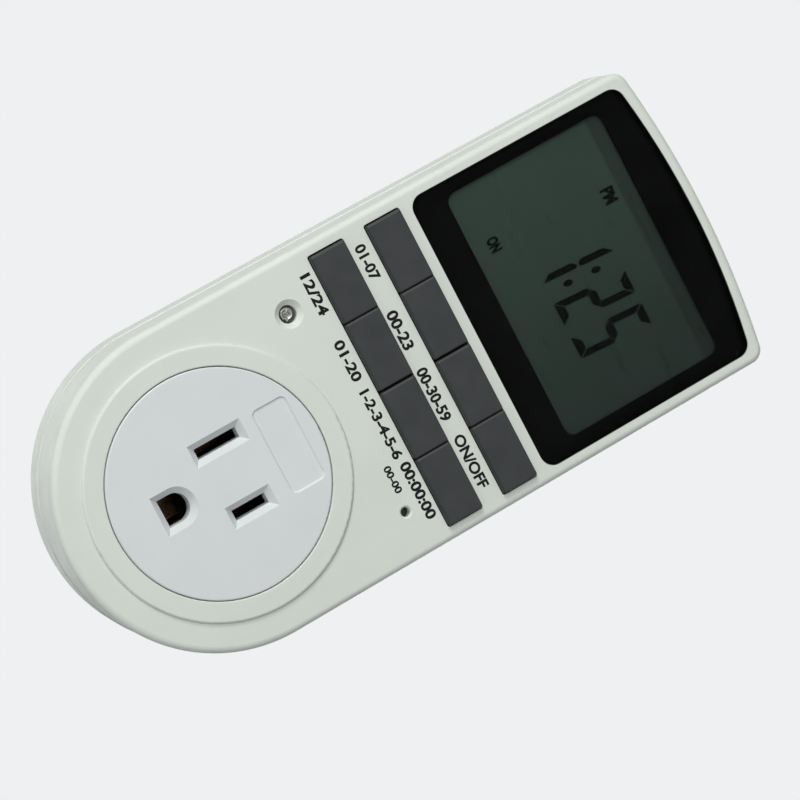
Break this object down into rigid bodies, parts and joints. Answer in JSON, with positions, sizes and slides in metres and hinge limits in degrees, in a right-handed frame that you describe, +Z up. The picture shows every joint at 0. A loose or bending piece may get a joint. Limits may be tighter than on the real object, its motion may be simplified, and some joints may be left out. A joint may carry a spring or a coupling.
{
  "type": "plug-in timer",
  "caption": "Plug-in wall timer: wedge-shaped casing with a grounded switched outlet, display, keys, lamp and a grounded plug on its back.",
  "frame": {"origin": "in the flat back, midway between the two line blades of the plug", "axes": "+Z up the wall toward the display, +Y into the wall, +X to the right seen from the front"},
  "size_m": [0.06, 0.0487, 0.1343],
  "materials": {
    "casing_plastic": "satin",
    "disc_plastic": "satin",
    "carrier_plastic": "matte",
    "screw_steel": "plated",
    "contact_brass": "polished",
    "lead_insulation": "satin",
    "lens_clear": "polished",
    "mask_black": "gloss",
    "panel_glass": "gloss",
    "holder_plastic": "matte",
    "elastomer": "matte",
    "key_plastic": "satin",
    "mat_silicone": "matte",
    "switch_plastic": "satin",
    "lamp_clear": "clear",
    "board_laminate": "satin",
    "black_epoxy": "satin",
    "crystal_can": "plated",
    "cell_steel": "plated",
    "chip_ceramic": "matte",
    "relay_plastic": "satin",
    "relay_iron": "zinc plated",
    "coil_copper": "enamelled copper wire",
    "film_yellow": "satin",
    "fuse_glass": "clear",
    "absorber_blue": "satin",
    "resistor_coat": "matte",
    "ribbon_grey": "matte"
  },
  "bodies": {
    "casing": {"battery_tabs": "crystal_can", "blade_clamp": "carrier_plastic", "carrier_screws": "screw_steel", "casing_screws": "screw_steel", "chip_resistors": "chip_ceramic", "clamp_screws": "screw_steel", "clock_crystal": "crystal_can", "contact_carrier": "carrier_plastic", "control_board": "board_laminate", "control_board_screws": "screw_steel", "display_lens": "lens_clear", "display_mask": "mask_black", "dropper_capacitor": "film_yellow", "front_casing": "casing_plastic", "fuse": "fuse_glass", "fuse_clips": "crystal_can", "ground_contact": "contact_brass", "ground_pin": "contact_brass", "ground_strap": "contact_brass", "indicator_lamp": "lamp_clear", "key_mat": "mat_silicone", "lcd_connectors": "elastomer", "lcd_holder": "holder_plastic", "lcd_panel": "panel_glass", "line_blade": "contact_brass", "line_contact": "contact_brass", "line_lead": "lead_insulation", "link_ribbon": "ribbon_grey", "load_lead": "lead_insulation", "memory_battery": "cell_steel", "neutral_blade": "contact_brass", "neutral_contact": "contact_brass", "neutral_lead": "lead_insulation", "neutral_strap": "contact_brass", "power_board": "board_laminate", "power_board_screws": "screw_steel", "power_resistors": "resistor_coat", "processor_blob": "black_epoxy", "rear_casing": "casing_plastic", "rectifier_diodes": "black_epoxy", "relay_base": "relay_plastic", "relay_bobbin": "relay_plastic", "relay_case": "relay_plastic", "relay_contact": "contact_brass", "relay_winding": "coil_copper", "relay_yoke": "relay_iron", "reset_switch": "switch_plastic", "smoothing_capacitor": "black_epoxy", "socket_face": "disc_plastic", "surge_absorber": "absorber_blue"},
    "key_day": {"key_day": "key_plastic"},
    "key_hour": {"key_hour": "key_plastic"},
    "key_minute": {"key_minute": "key_plastic"},
    "key_recall": {"key_recall": "key_plastic"},
    "key_clock": {"key_clock": "key_plastic"},
    "key_program": {"key_program": "key_plastic"},
    "key_mode": {"key_mode": "key_plastic"},
    "key_random": {"key_random": "key_plastic"},
    "reset_plunger": {"reset_plunger": "switch_plastic"},
    "relay_armature": {"relay_armature": "relay_iron"}
  },
  "joints": [
    {"name": "key_day_press", "type": "slide", "parent": "casing", "child": "key_day", "axis": [0, 0.9979, -0.0645], "range_m": [0, 0.0008], "stiffness_N_per_m": 1500, "springref_m": -0.0006},
    {"name": "key_hour_press", "type": "slide", "parent": "casing", "child": "key_hour", "axis": [0, 0.9979, -0.0645], "range_m": [0, 0.0008], "stiffness_N_per_m": 1500, "springref_m": -0.0006},
    {"name": "key_minute_press", "type": "slide", "parent": "casing", "child": "key_minute", "axis": [0, 0.9979, -0.0645], "range_m": [0, 0.0008], "stiffness_N_per_m": 1500, "springref_m": -0.0006},
    {"name": "key_recall_press", "type": "slide", "parent": "casing", "child": "key_recall", "axis": [0, 0.9979, -0.0645], "range_m": [0, 0.0008], "stiffness_N_per_m": 1500, "springref_m": -0.0006},
    {"name": "key_clock_press", "type": "slide", "parent": "casing", "child": "key_clock", "axis": [0, 0.9979, -0.0645], "range_m": [0, 0.0008], "stiffness_N_per_m": 1500, "springref_m": -0.0006},
    {"name": "key_program_press", "type": "slide", "parent": "casing", "child": "key_program", "axis": [0, 0.9979, -0.0645], "range_m": [0, 0.0008], "stiffness_N_per_m": 1500, "springref_m": -0.0006},
    {"name": "key_mode_press", "type": "slide", "parent": "casing", "child": "key_mode", "axis": [0, 0.9979, -0.0645], "range_m": [0, 0.0008], "stiffness_N_per_m": 1500, "springref_m": -0.0006},
    {"name": "key_random_press", "type": "slide", "parent": "casing", "child": "key_random", "axis": [0, 0.9979, -0.0645], "range_m": [0, 0.0008], "stiffness_N_per_m": 1500, "springref_m": -0.0006},
    {"name": "reset_press", "type": "slide", "parent": "casing", "child": "reset_plunger", "axis": [0, 0.9979, -0.0645], "range_m": [0, 0.0003], "stiffness_N_per_m": 4000, "springref_m": -0.0002},
    {"name": "armature_swing", "type": "hinge", "parent": "casing", "child": "relay_armature", "pos_m": [0.011, -0.0073, 0.037], "axis": [0, 0, -1], "range_deg": [0, 4.5], "stiffness_Nm_per_rad": 0.02, "springref_deg": -5.73}
  ]
}
